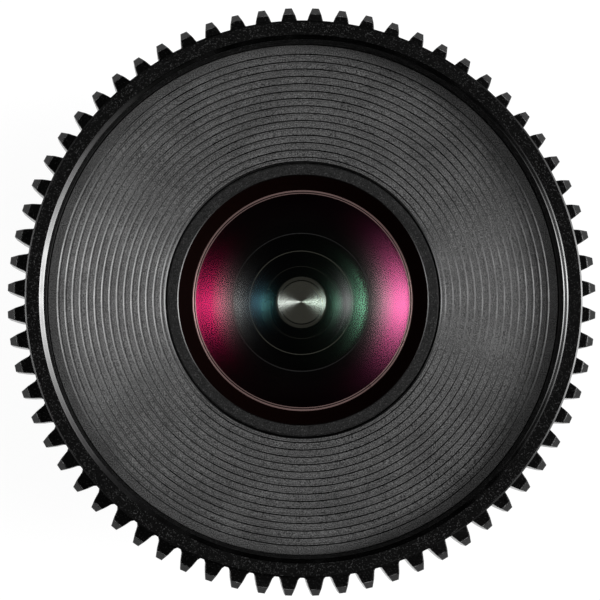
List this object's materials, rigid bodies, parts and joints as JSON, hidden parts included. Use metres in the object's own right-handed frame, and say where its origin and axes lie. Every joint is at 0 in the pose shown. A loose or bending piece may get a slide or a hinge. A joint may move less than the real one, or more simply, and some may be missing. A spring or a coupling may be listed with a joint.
{
  "type": "cinema prime lens",
  "caption": "Compact cinema prime lens with toothed focus and iris rings, a grooved front baffle, coated glass and a three-lug bayonet mount.",
  "frame": {"origin": "Centre of the flange face that meets the camera, on the optical axis.", "axes": "+Z runs along the optical axis towards the subject, +Y is the top of the lens with its alignment dot, +X is to the right when the front is seen with the dot up."},
  "size_m": [0.056, 0.056, 0.059],
  "materials": {
    "black_anodised": "black anodised, fine satin grain",
    "matt_black_inner": "dead matt black paint",
    "charcoal_blasted": "bead-blasted, dark grey anodised",
    "screw_steel": "turned steel",
    "mount_steel": "hard chromed, fine turned",
    "brass": "turned, bare",
    "red_enamel": "glossy enamel",
    "blade_black": "blackened spring steel",
    "coated_front_glass": "magenta and green anti-reflection coating",
    "coated_inner_glass": "blue and amber anti-reflection coating"
  },
  "bodies": {
    "barrel": {"main_barrel": "black_anodised", "rear_barrel": "black_anodised", "bayonet_mount": "mount_steel", "mount_shim": "brass", "mount_screws": "screw_steel", "rear_light_mask": "matt_black_inner", "barrel_set_screws": "screw_steel", "alignment_dot": "red_enamel", "focus_retaining_ring": "black_anodised"},
    "focus_ring": {"focus_gear_ring": "black_anodised", "focus_cam_sleeve": "brass", "focus_set_screws": "screw_steel"},
    "optical_block": {"focus_carrier": "matt_black_inner", "cam_rollers": "brass", "roller_screws": "screw_steel", "filter_ring": "black_anodised", "filter_ring_screws": "screw_steel", "front_baffle": "charcoal_blasted", "front_retaining_ring": "charcoal_blasted", "front_cell": "matt_black_inner", "front_element": "coated_front_glass", "second_element": "coated_inner_glass", "third_element": "coated_inner_glass", "front_cell_lock_ring": "matt_black_inner", "optical_barrel": "matt_black_inner", "optical_barrel_screws": "screw_steel", "fourth_element": "coated_inner_glass", "middle_spacer": "matt_black_inner", "fifth_element": "coated_inner_glass", "sixth_element": "coated_inner_glass", "middle_lock_ring": "matt_black_inner", "iris_base_plate": "brass", "rear_cell": "matt_black_inner", "seventh_element": "coated_inner_glass", "eighth_element": "coated_inner_glass", "ninth_element": "coated_inner_glass", "rear_element": "coated_inner_glass", "rear_spacer_1": "matt_black_inner", "rear_spacer_2": "matt_black_inner", "rear_retaining_ring": "matt_black_inner"},
    "iris_ring": {"iris_gear_ring": "black_anodised", "iris_drive_pin": "screw_steel"},
    "iris_cam": {"iris_cam_ring": "brass"},
    "blade_1": {"iris_blade_1": "blade_black"},
    "blade_2": {"iris_blade_2": "blade_black"},
    "blade_3": {"iris_blade_3": "blade_black"},
    "blade_4": {"iris_blade_4": "blade_black"},
    "blade_5": {"iris_blade_5": "blade_black"},
    "blade_6": {"iris_blade_6": "blade_black"},
    "blade_7": {"iris_blade_7": "blade_black"}
  },
  "joints": [
    {"name": "focus_turn", "type": "hinge", "parent": "barrel", "child": "focus_ring", "pos_m": [0, 0, 0.0385], "axis": [0, 0, 1], "range_deg": [0, 140]},
    {"name": "focus_slide", "type": "slide", "parent": "barrel", "child": "optical_block", "axis": [0, 0, 1], "range_m": [0, 0.0008]},
    {"name": "iris_turn", "type": "hinge", "parent": "barrel", "child": "iris_ring", "pos_m": [0, 0, 0.0185], "axis": [0, 0, 1], "range_deg": [0, 60]},
    {"name": "iris_cam_turn", "type": "hinge", "parent": "optical_block", "child": "iris_cam", "pos_m": [0, 0, 0.0239], "axis": [0, 0, 1], "range_deg": [0, 60]},
    {"name": "blade_1_turn", "type": "hinge", "parent": "optical_block", "child": "blade_1", "pos_m": [0.009, 0, 0.0223], "axis": [0, 0, 1], "range_deg": [0, 12.12]},
    {"name": "blade_2_turn", "type": "hinge", "parent": "optical_block", "child": "blade_2", "pos_m": [0.00561, 0.00704, 0.0223], "axis": [0, 0, 1], "range_deg": [0, 12.12]},
    {"name": "blade_3_turn", "type": "hinge", "parent": "optical_block", "child": "blade_3", "pos_m": [-0.002, 0.00877, 0.0223], "axis": [0, 0, 1], "range_deg": [0, 12.12]},
    {"name": "blade_4_turn", "type": "hinge", "parent": "optical_block", "child": "blade_4", "pos_m": [-0.00811, 0.00391, 0.0223], "axis": [0, 0, 1], "range_deg": [0, 12.12]},
    {"name": "blade_5_turn", "type": "hinge", "parent": "optical_block", "child": "blade_5", "pos_m": [-0.00811, -0.00391, 0.0223], "axis": [0, 0, 1], "range_deg": [0, 12.12]},
    {"name": "blade_6_turn", "type": "hinge", "parent": "optical_block", "child": "blade_6", "pos_m": [-0.002, -0.00877, 0.0223], "axis": [0, 0, 1], "range_deg": [0, 12.12]},
    {"name": "blade_7_turn", "type": "hinge", "parent": "optical_block", "child": "blade_7", "pos_m": [0.00561, -0.00704, 0.0223], "axis": [0, 0, 1], "range_deg": [0, 12.12]}
  ],
  "couplings": [
    {"joint": "focus_slide", "follows": "focus_turn", "m_per_rad": 0.0003274},
    {"joint": "iris_cam_turn", "follows": "iris_turn", "ratio": 1},
    {"joint": "blade_1_turn", "follows": "iris_turn", "ratio": 0.20197},
    {"joint": "blade_2_turn", "follows": "iris_turn", "ratio": 0.20197},
    {"joint": "blade_3_turn", "follows": "iris_turn", "ratio": 0.20197},
    {"joint": "blade_4_turn", "follows": "iris_turn", "ratio": 0.20197},
    {"joint": "blade_5_turn", "follows": "iris_turn", "ratio": 0.20197},
    {"joint": "blade_6_turn", "follows": "iris_turn", "ratio": 0.20197},
    {"joint": "blade_7_turn", "follows": "iris_turn", "ratio": 0.20197}
  ]
}
